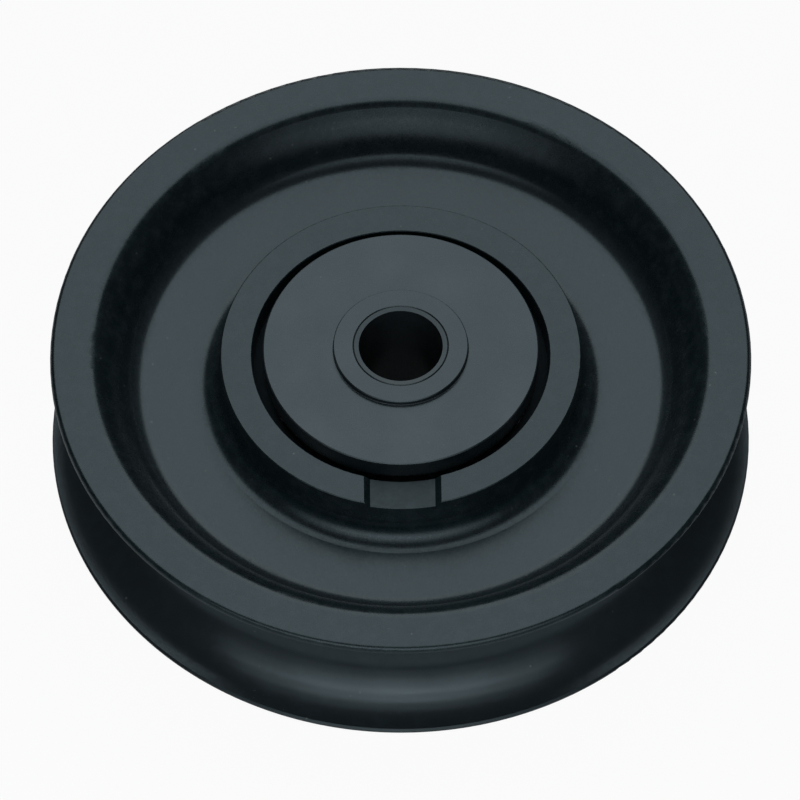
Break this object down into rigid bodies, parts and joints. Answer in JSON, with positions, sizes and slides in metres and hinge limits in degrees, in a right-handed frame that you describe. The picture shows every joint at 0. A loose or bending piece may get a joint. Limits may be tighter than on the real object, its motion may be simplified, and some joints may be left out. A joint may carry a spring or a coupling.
{
  "type": "wire rope sheave",
  "caption": "Grooved rope sheave in dark moulded plastic, with a recessed web, a wide hub, disc covers and its own sealed ball bearing on a through bore for an axle.",
  "frame": {"origin": "centre of the axle bore, on the mid-plane of the rope groove", "axes": "+Z along the axle, towards the front face with the notched hub; -Y points to the notch"},
  "size_m": [0.1, 0.1, 0.027],
  "materials": {
    "moulded_polyamide": "dark blue-grey moulded polyamide, fine satin skin",
    "cover_plastic": "dark blue-grey moulded plastic, smooth satin",
    "blackened_steel": "black oxide, satin",
    "bearing_steel": "ground bearing steel",
    "ball_steel": "polished",
    "cage_steel": "pressed sheet steel, bare",
    "seal_rubber": "moulded nitrile rubber, matt",
    "spring_steel": "phosphated spring steel, oiled"
  },
  "bodies": {
    "hub": {"front_cover": "cover_plastic", "rear_cover": "cover_plastic", "axle_tube": "blackened_steel", "bearing_inner_ring": "bearing_steel"},
    "sheave": {"sheave_body": "moulded_polyamide", "bearing_outer_ring": "bearing_steel", "bearing_seal_front": "seal_rubber", "bearing_seal_rear": "seal_rubber", "retaining_ring": "spring_steel"},
    "cage": {"cage_half_front": "cage_steel", "cage_half_rear": "cage_steel", "cage_rivets": "cage_steel"},
    "rolling_ball_1": {"ball_1": "ball_steel"},
    "rolling_ball_2": {"ball_2": "ball_steel"},
    "rolling_ball_3": {"ball_3": "ball_steel"},
    "rolling_ball_4": {"ball_4": "ball_steel"},
    "rolling_ball_5": {"ball_5": "ball_steel"},
    "rolling_ball_6": {"ball_6": "ball_steel"},
    "rolling_ball_7": {"ball_7": "ball_steel"},
    "rolling_ball_8": {"ball_8": "ball_steel"},
    "rolling_ball_9": {"ball_9": "ball_steel"}
  },
  "joints": [
    {"name": "sheave_spin", "type": "hinge", "parent": "hub", "child": "sheave", "pos_m": [0, 0, 0], "axis": [0, 0, 1], "continuous": true},
    {"name": "cage_spin", "type": "hinge", "parent": "hub", "child": "cage", "pos_m": [0, 0, 0], "axis": [0, 0, 1], "continuous": true},
    {"name": "ball_1_roll", "type": "hinge", "parent": "cage", "child": "rolling_ball_1", "pos_m": [0, 0.0155, 0], "axis": [0, 0, 1], "continuous": true},
    {"name": "ball_2_roll", "type": "hinge", "parent": "cage", "child": "rolling_ball_2", "pos_m": [-0.00996, 0.01187, 0], "axis": [0, 0, 1], "continuous": true},
    {"name": "ball_3_roll", "type": "hinge", "parent": "cage", "child": "rolling_ball_3", "pos_m": [-0.01526, 0.00269, 0], "axis": [0, 0, 1], "continuous": true},
    {"name": "ball_4_roll", "type": "hinge", "parent": "cage", "child": "rolling_ball_4", "pos_m": [-0.01342, -0.00775, 0], "axis": [0, 0, 1], "continuous": true},
    {"name": "ball_5_roll", "type": "hinge", "parent": "cage", "child": "rolling_ball_5", "pos_m": [-0.0053, -0.01457, 0], "axis": [0, 0, 1], "continuous": true},
    {"name": "ball_6_roll", "type": "hinge", "parent": "cage", "child": "rolling_ball_6", "pos_m": [0.0053, -0.01457, 0], "axis": [0, 0, 1], "continuous": true},
    {"name": "ball_7_roll", "type": "hinge", "parent": "cage", "child": "rolling_ball_7", "pos_m": [0.01342, -0.00775, 0], "axis": [0, 0, 1], "continuous": true},
    {"name": "ball_8_roll", "type": "hinge", "parent": "cage", "child": "rolling_ball_8", "pos_m": [0.01526, 0.00269, 0], "axis": [0, 0, 1], "continuous": true},
    {"name": "ball_9_roll", "type": "hinge", "parent": "cage", "child": "rolling_ball_9", "pos_m": [0.00996, 0.01187, 0], "axis": [0, 0, 1], "continuous": true}
  ],
  "couplings": [
    {"joint": "cage_spin", "follows": "sheave_spin", "ratio": 0.60242},
    {"joint": "ball_1_roll", "follows": "sheave_spin", "ratio": 2.3385},
    {"joint": "ball_2_roll", "follows": "sheave_spin", "ratio": 2.3385},
    {"joint": "ball_3_roll", "follows": "sheave_spin", "ratio": 2.3385},
    {"joint": "ball_4_roll", "follows": "sheave_spin", "ratio": 2.3385},
    {"joint": "ball_5_roll", "follows": "sheave_spin", "ratio": 2.3385},
    {"joint": "ball_6_roll", "follows": "sheave_spin", "ratio": 2.3385},
    {"joint": "ball_7_roll", "follows": "sheave_spin", "ratio": 2.3385},
    {"joint": "ball_8_roll", "follows": "sheave_spin", "ratio": 2.3385},
    {"joint": "ball_9_roll", "follows": "sheave_spin", "ratio": 2.3385}
  ]
}
